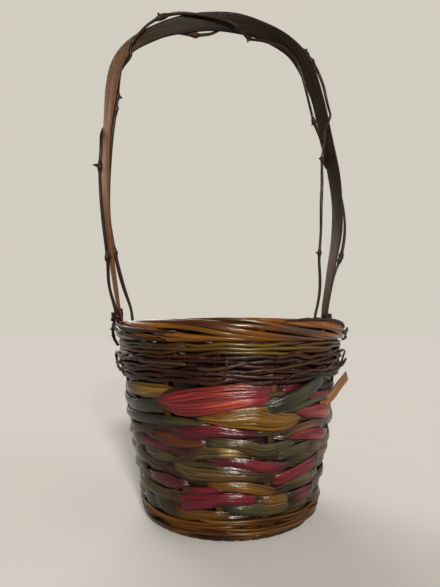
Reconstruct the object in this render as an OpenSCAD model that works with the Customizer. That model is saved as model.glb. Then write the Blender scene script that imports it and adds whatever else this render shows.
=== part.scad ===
// Flower girl basket: a round, tapering wicker bowl woven on flat stakes, with a tall hoop handle.
// Millimetres, +Z up. The handle's feet lie on the X axis, and the origin is on the floor under the
// middle of the base. Angles run round the bowl from -Y towards +X.

/* [Bowl] */
// Height from the floor to the top of the rim
bowl_h = 138; // [124:1:150]
// Diameter of the stakes' ring at the rim
rim_d = 162; // [145:1:180]
// Diameter of the flat of the base
base_d = 111; // [100:1:118]
// How far the side bows out at mid-height
side_bow = 2.3; // [0:0.1:4]
// How far the middle of the base is raised off the floor
base_dome = 1.5; // [0.5:0.1:3]

/* [Stakes] */
// Width of a flat stake
stake_w = 5; // [3.5:0.1:5.5]
// Thickness of a flat stake
stake_t = 1; // [0.8:0.1:1.1]

/* [Reeds and vines] */
// Thickness of the reeds in the base and foot
foot_reed_d = 2.6; // [2:0.1:2.7]
// Thickness of the dark vines under the rim
vine_d = 2.8; // [2.2:0.1:2.8]
// Thickness of the thin reeds between the rim and the vines
trim_reed_d = 2.4; // [2:0.1:2.4]
// Thickness of a rim strand
rim_strand_d = 4.4; // [3.6:0.1:4.4]

/* [Coloured weave] */
// Thickness of a bundle of strips
bundle_t = 1.4; // [1:0.1:1.8]
// How far a bundle swells above and below where it passes over a stake
bundle_swell = 1.4; // [0:0.1:2]

/* [Handle] */
// Height of the handle's crown above the rim, to the middle of the splint
handle_h = 236; // [180:1:280]
// Width of the handle splint at the crown
splint_w = 14; // [10:0.5:16]
// Thickness of the handle splint at the crown
splint_t = 2; // [1.5:0.1:3]
// Thickness of the vines that wind round the handle
handle_vine_d = 2.8; // [2:0.1:3.2]

/* [Hidden] */

// Smallest gap left between neighbouring pieces
gap = 0.1;
// The side leans outward, so a piece laid against it stands this much further off, measured level
lean = 1.05;
// Stakes round the bowl. Each long stake runs under the base and makes two of them
stake_count = 14;
stake_step = 360 / stake_count;
// Radius of the bend from the base into the side, and the angle on it at which the side starts
corner_r = 6;
corner_end = -12.7;
base_r = base_d / 2;
// Height of the middle of the stakes at the edge of the base
base_z = 3.4;
side_z = base_z + corner_r + corner_r * sin(corner_end);
side_r = base_r + corner_r * cos(corner_end);
stake_top = bowl_h - rim_strand_d - 2 * gap;
rim_r = rim_d / 2;
// From the middle of a stake to the near side of whatever holds it
hold = stake_t / 2 + gap;

straw = [0.72, 0.52, 0.26];
foot_brown = [0.50, 0.33, 0.14];
vine_brown = [0.24, 0.13, 0.10];
trim_olive = [0.55, 0.43, 0.18];
rim_gold = [0.66, 0.38, 0.12];
splint_brown = [0.36, 0.21, 0.14];

// Heights of the coloured bundles from the top down, as shares of the whole coloured part
bundle_share = [16.8, 6.8, 7.6, 6.4, 8.4, 6.2, 7.8, 7.2, 10.2, 9];
bundle_color = [[0.80, 0.26, 0.32], [0.66, 0.46, 0.14], [0.66, 0.12, 0.24], [0.48, 0.48, 0.34],
                [0.52, 0.44, 0.28], [0.68, 0.12, 0.26], [0.52, 0.46, 0.28], [0.64, 0.42, 0.12],
                [0.70, 0.12, 0.28], [0.48, 0.48, 0.34]];

// Rows of the plain rings, from the top down. The top strand lies in the hollow over the upper ones
vine_rows = 6;
trim_rows = 3;
foot_rows = 5;
rim_high_z = bowl_h - 1.3 * rim_strand_d;
rim_low_z = rim_high_z - rim_strand_d - 2 * gap;
trim_z = rim_low_z - (rim_strand_d + trim_reed_d) / 2 - gap;
trim_pitch = trim_reed_d + gap / 2;
vine_z = trim_z - (trim_rows - 1) * trim_pitch - (trim_reed_d + vine_d) / 2 - gap;
vine_pitch = vine_d + gap;
bundle_top = vine_z - (vine_rows - 1) * vine_pitch - vine_d / 2 - 2 * gap;
// Height of the foot above the middle of the base's stakes
foot_h = 8.6;
bundle_bottom = base_z + foot_h;
bundle_scale = (bundle_top - bundle_bottom) / total(bundle_share);

function total(v, i = 0) = i < len(v) ? v[i] + total(v, i + 1) : 0;
function up_to(v, n, i = 0) = i < n ? v[i] + up_to(v, n, i + 1) : 0;
function around(r, a, z) = [r * sin(a), -r * cos(a), z];

// Radius of the middle of the side at height z
function side_at(z) = let (t = (z - side_z) / (bowl_h - side_z))
    side_r + (rim_r - side_r) * t + side_bow * sin(180 * min(max(t, 0), 1));
// Height of the middle of the stakes in the base, at radius r
function base_at(r) = base_z + base_dome * (1 - pow(min(r / base_r, 1), 2));

// ---- sweeping -------------------------------------------------------------------------------

function unit(v) = v / norm(v);
function along(p, i) = unit(p[min(i + 1, len(p) - 1)] - p[max(i - 1, 0)]);

// A point on the smooth curve through the points p, at u steps from the first
function smooth(p, u) =
    let (n = len(p) - 1, i = min(floor(u), n - 1), t = u - i,
         a = p[max(i - 1, 0)], b = p[i], c = p[i + 1], d = p[min(i + 2, n)])
    0.5 * (2 * b + (c - a) * t + (2 * a - 5 * b + 4 * c - d) * t * t + (3 * b - a - 3 * c + d) * t * t * t);

// Joins rings of points, each with the same number, into one closed solid
module skin(rings, closed = false) {
    n = len(rings);
    m = len(rings[0]);
    points = [for (r = rings) for (p = r) p];
    last = closed ? n - 1 : n - 2;
    walls = [for (i = [0:last], j = [0:m - 1])
        let (a = i * m, b = ((i + 1) % n) * m, k = (j + 1) % m)
        each [[a + j, a + k, b + k], [a + j, b + k, b + j]]];
    first_cap = [for (j = [1:m - 2]) [0, j + 1, j]];
    last_cap = [for (j = [1:m - 2]) [(n - 1) * m, (n - 1) * m + j, (n - 1) * m + j + 1]];
    polyhedron(points, closed ? walls : concat(walls, first_cap, last_cap));
}

// Four corners of a flat section: centre c, half width vector w, half thickness vector t
function flat_ring(c, w, t) = [c - w - t, c + w - t, c + w + t, c - w + t];

// A round section of radius r about c, with d the direction of travel
function round_ring(c, d, r, sides) =
    let (x = unit(cross(d, abs(d[1]) < 0.9 ? [0, 1, 0] : [1, 0, 0])), y = cross(d, x))
    [for (i = [0:sides - 1]) c + r * (cos(360 * i / sides) * x + sin(360 * i / sides) * y)];

// ---- stakes ---------------------------------------------------------------------------------

// Where the stakes cross in the middle of the base: four run along X, and three lie over them along Y
cross_pitch = 6;
cross_half_x = 12;
cross_half_y = 14.5;
layer = stake_t / 2 + gap / 2;
// Radii at which a stake's middle is set in the base, angles at which it is set round the bend, and the
// number of stretches up the side
leg_radii = [19, 30, 42, base_r];
bend_angles = [-65, -40, corner_end];
side_steps = 7;

// Centre points of one leg, from the crossing out to the rim. a is its angle, s its place at the crossing
function leg(a, s, lift) =
    concat([[s[0], s[1], base_at(0) + lift]],
           [for (r = leg_radii) around(r, a, base_at(r))],
           [for (b = bend_angles)
               around(base_r + corner_r * cos(b), a, base_z + corner_r * (1 + sin(b)))],
           [for (i = [1:side_steps])
               let (z = side_z + (stake_top - side_z) * i / side_steps) around(side_at(z), a, z)]);

function reversed(v) = [for (i = [len(v) - 1:-1:0]) v[i]];

// A whole stake: down one side, under the base and up the other side
module stake(a, b, s, t, lift) {
    p = concat(reversed(leg(a, s, lift)), leg(b, t, lift));
    half = len(p) / 2;
    rings = [for (i = [0:len(p) - 1])
        let (d = along(p, i), side = i < half ? -1 : 1, g = i < half ? a : b,
             far = abs(i - half + 0.5) > 1,
             w = far ? side * [cos(g), sin(g), 0] : unit([-d[1], d[0], 0]),
             n = unit(cross(w, d)))
        flat_ring(p[i], w * stake_w / 2, n * stake_t / 2)];
    color(straw) skin(rings);
}

// Stakes 1 to 4 lie along X at the crossing, and 5 to 7 along Y
stakes_x = 4;
stakes_y = 3;
module stake_along_x(i) {
    k = i - (stakes_x - 1) / 2;
    a = 90 + k * stake_step;
    stake(-a, a, [-cross_half_x, k * cross_pitch], [cross_half_x, k * cross_pitch], -layer);
}
module stake_along_y(i) {
    k = i - (stakes_y - 1) / 2;
    a = k * stake_step;
    stake(180 - a, a, [k * cross_pitch, cross_half_y], [k * cross_pitch, -cross_half_y], layer);
}

// ---- plain rings ----------------------------------------------------------------------------

module ring(r, z, d) {
    rotate_extrude($fn = 96) translate([r, z]) circle(d = d, $fn = 24);
}

// Rings that hold the stakes from outside and from inside, at height z
module outer_ring(z, d) {
    ring(side_at(z) + lean * (hold + d / 2), z, d);
}
module inner_ring(z, d) {
    ring(side_at(z) - lean * (hold + d / 2), z, d);
}

// Reeds of the base lie in rings over and under the stakes
base_reed_pitch = 3;
base_reed_first = 21;
base_reed_margin = 0.9;
module base_reeds(side) {
    for (r = [base_reed_first:base_reed_pitch:base_r - base_reed_margin])
        ring(r, base_at(r) + side * (hold + foot_reed_d / 2), foot_reed_d);
}
module base_reeds_lower() { color(foot_brown) base_reeds(-1); }
module base_reeds_upper() { color(foot_brown) base_reeds(1); }

// Outer reeds of the foot: one on the side, three round the bend at foot_angles, and a thicker last one,
// worn flat underneath, that the basket stands on
foot_angles = [-15, -35, -55];
foot_top_gap = 0.5;
foot_stand_d = foot_reed_d + 0.4;
foot_stand_out = 1.9;
foot_wear = 0.1;

// A ring held against the bend at angle a, lift from the bend's own centre
module bend_ring(a, lift) {
    ring(base_r + lift * cos(a), base_z + corner_r + lift * sin(a), foot_reed_d);
}
module foot_reed(i) {
    color(foot_brown)
        if (i == 0) outer_ring(bundle_bottom - foot_reed_d / 2 - foot_top_gap, foot_reed_d);
        else if (i < foot_rows - 1) bend_ring(foot_angles[i - 1], corner_r + hold + foot_reed_d / 2);
        else rotate_extrude($fn = 96) translate([base_r + foot_stand_out, 0]) difference() {
            translate([0, foot_stand_d / 2 - foot_wear]) circle(d = foot_stand_d, $fn = 24);
            translate([-foot_stand_d, -foot_stand_d]) square([2 * foot_stand_d, foot_stand_d]);
        }
}
foot_inner_angles = [-47, -6];
module foot_reeds_inner() {
    color(foot_brown) for (a = foot_inner_angles) bend_ring(a, corner_r - hold - foot_reed_d / 2);
}

module vine_row(i) { color(vine_brown) outer_ring(vine_z - i * vine_pitch, vine_d); }
module vine_rows_inner() {
    color(vine_brown) for (i = [0:vine_rows - 1]) inner_ring(vine_z - i * vine_pitch, vine_d);
}
module trim_reed(i) { color(trim_olive) outer_ring(trim_z - i * trim_pitch, trim_reed_d); }
module trim_reeds_inner() {
    color(trim_olive) for (i = [0:trim_rows - 1]) inner_ring(trim_z - i * trim_pitch, trim_reed_d);
}

// ---- rim ------------------------------------------------------------------------------------

module rim_strand_upper() { color(rim_gold) outer_ring(rim_high_z, rim_strand_d); }
module rim_strand_lower() { color(rim_gold) outer_ring(rim_low_z, rim_strand_d); }
module rim_strands_inner() {
    color(rim_gold) for (z = [rim_low_z, rim_high_z]) inner_ring(z, rim_strand_d);
}

// The top strand covers the stakes' ends and stops on each side of the handle's feet
foot_gap = 4.5;
module rim_top(turn) {
    color(rim_gold) rotate([0, 0, turn + foot_gap])
        rotate_extrude(angle = 180 - 2 * foot_gap, $fn = 96)
            translate([side_at(stake_top), bowl_h - rim_strand_d / 2]) circle(d = rim_strand_d, $fn = 24);
}
module rim_top_front() { rim_top(180); }
module rim_top_back() { rim_top(0); }

// ---- coloured bundles -----------------------------------------------------------------------

// One bundle goes over a stake and behind the next. Neighbours share a wavy edge, wide over a stake and
// narrow behind it, and the first and last edges are level
steps_per_stake = 6;
module bundle(i) {
    over = i % 2 == 0 ? -1 : 1;
    top = bundle_top - bundle_scale * up_to(bundle_share, i);
    bottom = top - bundle_scale * bundle_share[i];
    top_swell = i == 0 ? 0 : bundle_swell;
    bottom_swell = i == len(bundle_share) - 1 ? 0 : bundle_swell;
    sway = hold + bundle_t / 2;
    n = stake_count * steps_per_stake;
    rings = [for (k = [0:n - 1])
        let (a = 360 * k / n, w = over * cos(a * stake_count / 2),
             zt = top + top_swell * w - gap, zb = bottom - bottom_swell * w + gap,
             rt = side_at(zt) + lean * sway * w, rb = side_at(zb) + lean * sway * w)
        [around(rb - bundle_t / 2, a, zb), around(rb + bundle_t / 2, a, zb),
         around(rt + bundle_t / 2, a, zt), around(rt - bundle_t / 2, a, zt)]];
    color(bundle_color[i]) skin(rings, closed = true);
}

// ---- handle ---------------------------------------------------------------------------------

// Middle of the splint in the XZ plane: each point is [x, height above the rim], from the left foot over
// the crown to the right foot. It is drawn for a rim of radius hoop_r and a crown hoop_h above it, and is
// stretched to the bowl's rim and to handle_h
hoop_r = 81;
hoop_h = 236;
hoop = [[-83, 6], [-86.5, 26], [-91, 58], [-94, 94], [-93, 140], [-86, 185], [-62, 211], [-28, 229],
        [5, 236], [37, 232], [61, 218], [76, 190], [86, 154], [95, 112], [96, 76], [90, 44], [85, 20],
        [82.5, 5]];
// The feet follow the side down through the rim to the lowest vine, through these depths below the rim
foot_depths = [bowl_h - bundle_top - 0.5, 18, 7];
splint_path = concat(
    [for (d = foot_depths) [-side_at(bowl_h - d), -d]],
    [for (p = hoop) [p[0] * rim_r / hoop_r, p[1] * handle_h / hoop_h]],
    [for (d = reversed(foot_depths)) [side_at(bowl_h - d), -d]]);
// Turn of the splint at each of those points: 0 has its flat side facing the bowl's axis
splint_turn = [0, 0, 0, 4, 10, 16, 22, 32, 52, 76, 96, 118, 108, 96, 112, 140, 165, 178, 184, 184, 182,
               180, 180, 180];
splint_steps = 3;
splint_last = len(splint_path) - 1;
// Width and thickness of the splint's feet, and where its section starts and stops growing, in steps
foot_w = 7;
foot_t = 0.9;
grow_start = 2.4;
grow_end = 6;

function splint_point(u) = let (p = smooth(splint_path, u)) [p[0], 0, bowl_h + p[1]];
// How full the section is at u steps from the left foot: 0 inside the rim, 1 from grow_end up
function fullness(u) =
    let (e = min(u, splint_last - u)) min(max((e - grow_start) / (grow_end - grow_start), 0), 1);
// Outward normal of the hoop at u
function hoop_out(u) =
    let (d = unit(splint_point(min(u + 0.2, splint_last)) - splint_point(max(u - 0.2, 0)))) [-d[2], 0, d[0]];
function half_w(u) = (foot_w + (splint_w - foot_w) * fullness(u)) / 2;
function half_t(u) = (foot_t + (splint_t - foot_t) * fullness(u)) / 2;

module handle_splint() {
    rings = [for (k = [0:splint_last * splint_steps])
        let (u = k / splint_steps, n = hoop_out(u), f = smooth(splint_turn, u),
             w = cos(f) * [0, 1, 0] + sin(f) * n, t = -sin(f) * [0, 1, 0] + cos(f) * n)
        flat_ring(splint_point(u), w * half_w(u), t * half_t(u))];
    color(splint_brown) skin(rings);
}

// A vine winds round the splint. Each point is [steps along the splint, angle round it, how far it stands
// off]. Angle 0 is outside the hoop, 90 behind it, 180 inside it and 270 in front
vine_1_route = [[2.5, 0, 0.6], [3, 5, 0.8], [4, 10, 2], [5, 0, 2.5], [6, 0, 4], [6.5, 5, 3.5],
                [6.8, 90, 0.5], [7.1, 165, 0.5], [7.8, 180, 0.5], [8.1, 260, 0.5], [8.4, 330, 1],
                [8.7, 360, 3], [9.2, 360, 3], [9.7, 350, 1], [10.1, 310, 0.5], [10.5, 270, 0.5],
                [11, 210, 0.5], [11.4, 180, 2.5], [11.9, 178, 1.5], [12.4, 165, 0.5], [12.9, 170, 0.5],
                [13.5, 180, 1.5], [14.3, 180, 1], [14.9, 90, 0.5], [15.5, 10, 1], [16.2, 0, 2],
                [16.8, 0, 3], [17.4, 0, 3.5], [18, 0, 2.5], [18.6, 0, 1], [20, 0, 0.8], [20.6, 0, 0.6]];
vine_2_route = [[1, 180, 4.6], [2, 180, 4.6], [2.6, 180, 6], [3.1, 180, 6.5], [3.6, 178, 4],
                [4.2, 170, 1.5], [4.8, 130, 0.5], [5.4, 95, 0.5], [6.4, 90, 0.5], [7.6, 95, 0.5],
                [8.6, 90, 0.5], [9.3, 130, 0.5], [9.8, 175, 1], [10.3, 150, 0.5], [11, 100, 0.5],
                [12, 90, 0.5], [12.7, 30, 0.5], [13.1, 0, 2.5], [13.6, 0, 4], [14, -10, 3],
                [14.4, -50, 0.5], [14.8, -110, 0.5], [15.2, -170, 3], [16, -180, 8], [17, -180, 10],
                [17.8, -180, 10], [18.3, -180, 6], [19, -180, 2], [19.6, -180, 3.5], [20.1, -180, 6.5],
                [20.6, -180, 6], [21, -180, 4.6], [22, -180, 4.6]];

// Least distance from the splint's middle that clears the splint, at angle q round it
handle_vine_gap = 0.4;
function clear_of_splint(u, q) =
    let (f = q - (90 - smooth(splint_turn, u)), r = handle_vine_d / 2 + handle_vine_gap)
    min((half_w(u) + r) / max(abs(cos(f)), 0.01), (half_t(u) + r) / max(abs(sin(f)), 0.01));

handle_vine_steps = 3;
module handle_vine(route) {
    keys = [for (k = [0:(len(route) - 1) * handle_vine_steps]) smooth(route, k / handle_vine_steps)];
    middle = [for (q = keys)
        let (u = q[0], off = clear_of_splint(u, q[1]) + max(q[2], 0))
        splint_point(u) + off * (cos(q[1]) * hoop_out(u) + sin(q[1]) * [0, 1, 0])];
    color(vine_brown)
        skin([for (i = [0:len(middle) - 1]) round_ring(middle[i], along(middle, i), handle_vine_d / 2, 6)]);
}
module handle_vine_1() { handle_vine(vine_1_route); }
module handle_vine_2() { handle_vine(vine_2_route); }

// A thin vine coiled round each foot of the handle, just above the rim
lashing_d = 2;
lashing_turns = 2.5;
lashing_sides = 12;
lashing_heights = [1.8, 9];
// Half widths of the coil along X and Y, and how far its middle stands out from the stakes' ring
lashing_half = [5.4, 6];
lashing_out = 3.2;
module lashing(side) {
    steps = lashing_sides * lashing_turns;
    middle = [for (k = [0:steps])
        let (a = 360 * k / lashing_sides,
             h = lashing_heights[0] + (lashing_heights[1] - lashing_heights[0]) * k / steps,
             x = rim_r + lashing_out + h / 10)
        [side * (x + lashing_half[0] * cos(a)), lashing_half[1] * sin(a), bowl_h + h]];
    color(vine_brown)
        skin([for (i = [0:len(middle) - 1]) round_ring(middle[i], along(middle, i), lashing_d / 2, 6)]);
}
module lashing_left() { lashing(-1); }
module lashing_right() { lashing(1); }

// ---- the assembly ---------------------------------------------------------------------------

// Places in NODES at which the numbered rows start
first_stake_y = stakes_x;
first_foot = 9;
first_bundle = 15;
first_vine = 25;
first_trim = 32;

for (i = [0:stakes_x - 1]) stake_along_x(i);
for (i = [0:stakes_y - 1]) stake_along_y(i);
base_reeds_lower();
base_reeds_upper();
for (i = [0:foot_rows - 1]) foot_reed(i);
foot_reeds_inner();
for (i = [0:len(bundle_share) - 1]) bundle(i);
for (i = [0:vine_rows - 1]) vine_row(i);
vine_rows_inner();
for (i = [0:trim_rows - 1]) trim_reed(i);
trim_reeds_inner();
rim_strand_upper();
rim_strand_lower();
rim_strands_inner();
rim_top_front();
rim_top_back();
handle_splint();
handle_vine_1();
handle_vine_2();
lashing_left();
lashing_right();
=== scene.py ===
import math

import bpy
import numpy as np
from numpy.random import default_rng
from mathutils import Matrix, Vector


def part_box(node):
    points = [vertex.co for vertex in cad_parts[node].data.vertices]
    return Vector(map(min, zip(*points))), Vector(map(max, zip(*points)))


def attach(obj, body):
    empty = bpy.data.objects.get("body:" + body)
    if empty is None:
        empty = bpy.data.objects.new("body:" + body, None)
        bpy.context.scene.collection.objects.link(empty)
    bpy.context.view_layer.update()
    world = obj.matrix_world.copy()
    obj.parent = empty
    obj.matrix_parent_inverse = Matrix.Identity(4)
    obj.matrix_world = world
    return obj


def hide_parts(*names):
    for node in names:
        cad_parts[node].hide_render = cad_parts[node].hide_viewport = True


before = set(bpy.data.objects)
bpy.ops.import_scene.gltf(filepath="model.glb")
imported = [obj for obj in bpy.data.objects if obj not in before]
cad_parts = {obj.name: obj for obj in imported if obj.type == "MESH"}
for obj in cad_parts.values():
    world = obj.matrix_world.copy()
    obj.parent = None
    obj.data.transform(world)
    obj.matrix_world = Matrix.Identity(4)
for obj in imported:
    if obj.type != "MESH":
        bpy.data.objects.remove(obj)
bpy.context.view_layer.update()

MM = 0.001
# The middle of the front, from which the angles in the given lists are counted.
FRONT = -20.0
STAKES = 14
STEP = 360 / STAKES
# How many points of a stake's middle line lie in the base and on the side.
BASE_POINTS = 6
SIDE_POINTS = 8
# Sine waves added up in a wandering line.
WAVES = 4

# Dyes and stains, as they look in daylight. A few also stand in for light: salmon is painted where the top
# pink row is lit, cream is painted on a few strips where a highlight shows (cream is also the strips' worn
# colour), and the trim's lighter green is a painted highlight.
DYES = {
    "pink": (0.42, 0.107, 0.12), "salmon": (0.48, 0.16, 0.13), "crimson": (0.29, 0.045, 0.08),
    "magenta": (0.38, 0.065, 0.13), "mauve": (0.2, 0.09, 0.07), "sage": (0.23, 0.205, 0.11),
    "slate": (0.14, 0.14, 0.1), "khaki": (0.28, 0.215, 0.1), "olive": (0.19, 0.145, 0.045),
    "ochre": (0.38, 0.24, 0.035), "gold": (0.44, 0.30, 0.05), "cream": (0.55, 0.45, 0.25),
    "tan": (0.34, 0.2, 0.09), "brown": (0.2, 0.1, 0.04), "orange": (0.29, 0.13, 0.03),
    "straw": (0.26, 0.155, 0.05), "bark": (0.125, 0.06, 0.03), "bark_red": (0.2, 0.085, 0.04),
    "rim": (0.46, 0.27, 0.02), "rim_dark": (0.22, 0.095, 0.012), "trim": (0.215, 0.12, 0.03),
    "trim_green_highlight": (0.33, 0.25, 0.05), "foot": (0.34, 0.21, 0.02), "foot_dark": (0.2, 0.105, 0.018),
    "splint_red": (0.54, 0.37, 0.235), "splint_dark": (0.19, 0.145, 0.10), "thorn": (0.15, 0.08, 0.05),
    "bark_pale": (0.22, 0.14, 0.09),
}


def linear(rgb):
    """Linear light of a colour given as it looks on a screen."""
    rgb = np.array(rgb)
    return np.where(rgb <= 0.04045, rgb / 12.92, ((rgb + 0.055) / 1.055) ** 2.4)


def dye(name):
    return linear(DYES[name])


def unit(v):
    return v / np.maximum(np.linalg.norm(v, axis=-1, keepdims=True), 1e-9)


def around(radius, angle, z):
    a = np.radians(angle)
    return np.stack([radius * np.sin(a), -radius * np.cos(a), z + 0 * a], -1)


def lengths(line):
    """Distance along a line to each of its points."""
    return np.concatenate([[0], np.cumsum(np.linalg.norm(np.diff(line, axis=0), axis=1))])


def half_turn(angle):
    """The same angle between -180 and 180."""
    return (angle + 180) % 360 - 180


def through(x, keys_x, keys_y):
    """Smooth values at x through the keys, never outside two neighbouring keys."""
    x, keys_x = np.atleast_1d(x), np.array(keys_x, float)
    y = np.array(keys_y, float).reshape(len(keys_x), -1)
    step = np.diff(keys_x)[:, None]
    rise = np.diff(y, axis=0) / step
    product, total = rise[:-1] * rise[1:], rise[:-1] + rise[1:]
    inner = np.where(product > 0, 2 * product / np.where(product > 0, total, 1), 0)
    slope = np.concatenate([rise[:1], inner, rise[-1:]])
    i = np.clip(np.searchsorted(keys_x, x, "right") - 1, 0, len(step) - 1)
    t = ((x - keys_x[i]) / step[i, 0])[:, None]
    bend = t * t * (3 - 2 * t)
    return (y[i] * (1 - bend) + y[i + 1] * bend
            + step[i] * (slope[i] * t * (1 - t) ** 2 - slope[i + 1] * t * t * (1 - t)))


def smooth(keys, u):
    """Points on the smooth curve through keys, at u steps from the first."""
    keys = np.array(keys, float).reshape(len(keys), -1)
    n = len(keys) - 1
    i = np.minimum(np.floor(u).astype(int), n - 1)
    t = (u - i)[:, None]
    a, b, c, d = keys[np.maximum(i - 1, 0)], keys[i], keys[i + 1], keys[np.minimum(i + 2, n)]
    return 0.5 * (2 * b + (c - a) * t + (2 * a - 5 * b + 4 * c - d) * t ** 2
                  + (3 * b - a - 3 * c + d) * t ** 3)


def wander(angle, rng, low=3, high=9):
    """A smooth random line about one unit high, which meets itself after a full turn."""
    turns = rng.integers(low, high, WAVES)
    phases = rng.uniform(0, 2 * math.pi, WAVES)
    return np.sin(np.radians(angle)[:, None] * turns + phases).sum(1) / math.sqrt(WAVES)


# ---- measures taken from the frame ----

def span(node):
    lo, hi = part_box(node)
    return np.array(lo) / MM, np.array(hi) / MM


def ring_of(node):
    """Radius, height and thickness of a ring-shaped CAD node."""
    lo, hi = span(node)
    return hi[0] - (hi[2] - lo[2]) / 2, (lo[2] + hi[2]) / 2, hi[2] - lo[2]


def stake_profile():
    """Middle line of a stake from the crossing to the rim, as rows of radius and height."""
    co = np.array([v.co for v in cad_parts["stake_6"].data.vertices]) / MM
    co = co[co[:, 1] < -5]
    # Corners of the same cut across the stake lie close together, and the next cut is further away.
    pairs = np.unique(np.round(np.stack([-co[:, 1], co[:, 2]], 1), 2), axis=0)
    pairs = pairs[np.argsort(pairs.sum(1))]
    cuts = np.nonzero(np.diff(pairs.sum(1)) > 1.8)[0] + 1
    return np.array([group.mean(0) for group in np.split(pairs, cuts)])


PROFILE = stake_profile()
PROFILE = np.concatenate([PROFILE, [PROFILE[-1] * 2 - PROFILE[-2]]])
ARC = lengths(PROFILE)
SIDE = PROFILE[-SIDE_POINTS - 1:]
BOWL_H = span("rim_top_front")[1][2]


def side_at(z):
    """Radius of the middle of the side at height z."""
    return through(z, SIDE[:, 1], SIDE[:, 0])[:, 0]


def on_profile(s, off):
    """Radius, height and outward normal at s along the stakes' line, moved outward by off."""
    here = through(s, ARC, PROFILE)
    travel = unit(through(np.minimum(s + 0.4, ARC[-1]), ARC, PROFILE) - through(s - 0.4, ARC, PROFILE))
    normal = np.stack([travel[:, 1], -travel[:, 0]], 1)
    return here + normal * np.atleast_1d(off)[:, None], normal


def place_of(radius, z):
    """How far along the stakes' line a ring of that radius and height lies."""
    s = np.arange(0, ARC[-1], 0.1)
    return s[np.argmin(np.linalg.norm(through(s, ARC, PROFILE) - (radius, z), axis=1))]


# ---- materials ----

# Each slot's roughness, varnish, depth of grain, strength of streaks, and what shows where it is worn.
FINISHES = {
    "stake_splint": (0.55, 0.05, 0.5, 0.50, "straw"), "foot_reed": (0.34, 0.12, 0.5, 0.55, "tan"),
    "vine": (0.30, 0.18, 0.9, 0.55, "mauve"), "trim_reed": (0.30, 0.26, 0.4, 0.55, "straw"),
    "rim_reed": (0.28, 0.50, 0.5, 0.60, "gold"), "handle_splint": (0.42, 0.06, 0.8, 0.50, "tan"),
    "handle_vine": (0.36, 0.08, 0.9, 0.50, "brown"),
}
STRIP_FINISH = (0.30, 0.36, 0.7, 0.60, "cream")
REFLECTION = 0.1
VARNISH_ROUGHNESS = 0.17
BUMP_DEPTH = 0.0006


def feed(tree, node, inputs):
    """Sets or links a node's inputs, by name or number."""
    for name, value in inputs.items():
        if isinstance(value, bpy.types.NodeSocket):
            tree.links.new(value, node.inputs[name])
        else:
            node.inputs[name].default_value = value


def add(tree, kind, inputs, **settings):
    """Makes a node, with its settings and its inputs."""
    made = tree.nodes.new(kind)
    for name, value in settings.items():
        setattr(made, name, value)
    feed(tree, made, inputs)
    return made


def grain_noise(tree, grain, stretch, detail):
    """Noise along a strand. stretch is how often it changes per millimetre, along and across."""
    scaled = add(tree, "ShaderNodeVectorMath", {0: grain, 1: stretch}, operation="MULTIPLY")
    settings = {"Vector": scaled.outputs[0], "Scale": 1.0, "Detail": detail, "Roughness": 0.6}
    return add(tree, "ShaderNodeTexNoise", settings).outputs["Fac"]


def ranged(tree, value, low, high, to_low, to_high):
    limits = {"From Min": low, "From Max": high, "To Min": to_low, "To Max": to_high}
    return add(tree, "ShaderNodeMapRange", {"Value": value, **limits}).outputs["Result"]


def mixed(tree, factor, a, b, blend="MIX"):
    made = add(tree, "ShaderNodeMix", {0: factor, 6: a, 7: b}, data_type="RGBA", blend_type=blend)
    return made.outputs[2]


def strand_material(slot):
    """Dyed or stained fibre: fine streaks along each strand, worn patches, and a thin varnish."""
    name = f"{slot}_fibre"
    if name in bpy.data.materials:
        return bpy.data.materials[name]
    rough, varnish, relief, streaks, worn = FINISHES.get(slot, STRIP_FINISH)
    woody = slot in ("vine", "handle_vine")
    made = bpy.data.materials.new(name)
    made.use_nodes = True
    tree = made.node_tree
    base = add(tree, "ShaderNodeAttribute", {}, attribute_name="dye").outputs["Color"]
    grain = add(tree, "ShaderNodeAttribute", {}, attribute_name="grain").outputs["Vector"]
    fine = grain_noise(tree, grain, (0.09, 0.9, 0.9) if woody else (0.02, 0.85, 0.85), 4.0)
    broad = grain_noise(tree, grain, (0.03, 0.25, 0.25), 2.0)
    flecks = grain_noise(tree, grain, (0.5, 0.9, 0.9), 2.0)
    shade = ranged(tree, fine, 0.32, 0.68, 1 - streaks, 1 + 0.35 * streaks)
    tone = ranged(tree, broad, 0.3, 0.7, 1 - 0.45 * streaks, 1 + 0.25 * streaks)
    level = add(tree, "ShaderNodeMath", {0: shade, 1: tone}, operation="MULTIPLY").outputs[0]
    grey = add(tree, "ShaderNodeCombineColor", {"Red": level, "Green": level, "Blue": level}).outputs[0]
    colour = mixed(tree, 1.0, base, grey, "MULTIPLY")
    wear = ranged(tree, fine, 0.62, 0.80, 0.0, 0.30)
    colour = mixed(tree, wear, colour, (*dye(worn), 1))
    spots = ranged(tree, flecks, 0.64, 0.74, 0.0, 0.55)
    colour = mixed(tree, spots, colour, (*(dye("bark") * 0.5), 1))
    height = add(tree, "ShaderNodeMath", {0: fine, 1: broad}, operation="ADD").outputs[0]
    bumps = {"Strength": relief, "Distance": BUMP_DEPTH, "Height": height}
    bump = add(tree, "ShaderNodeBump", bumps).outputs[0]
    feed(tree, tree.nodes["Principled BSDF"], {
        "Coat Weight": varnish, "Coat Roughness": VARNISH_ROUGHNESS, "Specular IOR Level": REFLECTION,
        "Base Color": colour, "Roughness": ranged(tree, fine, 0.3, 0.7, rough + 0.14, rough - 0.08),
        "Normal": bump, "Coat Normal": bump})
    return made


# ---- sweeping ----

def section(sides, square):
    """Points round a unit section: square 1 is an ellipse, and a smaller number has flatter faces."""
    q = np.arange(sides) * 2 * math.pi / sides
    return np.stack([np.sign(c) * np.abs(c) ** square for c in (np.cos(q), np.sin(q))], 1)


# How much darker a strand is painted at its edges, a painted shade that draws dark lines between
# neighbouring strands, and how far one seed moves the grain.
STRAND_EDGE_SHADE = 0.75
GRAIN_SHIFT = 613.7


def placed(name, data):
    made = bpy.data.objects.new(name, data)
    bpy.context.scene.collection.objects.link(made)
    return made


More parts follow.
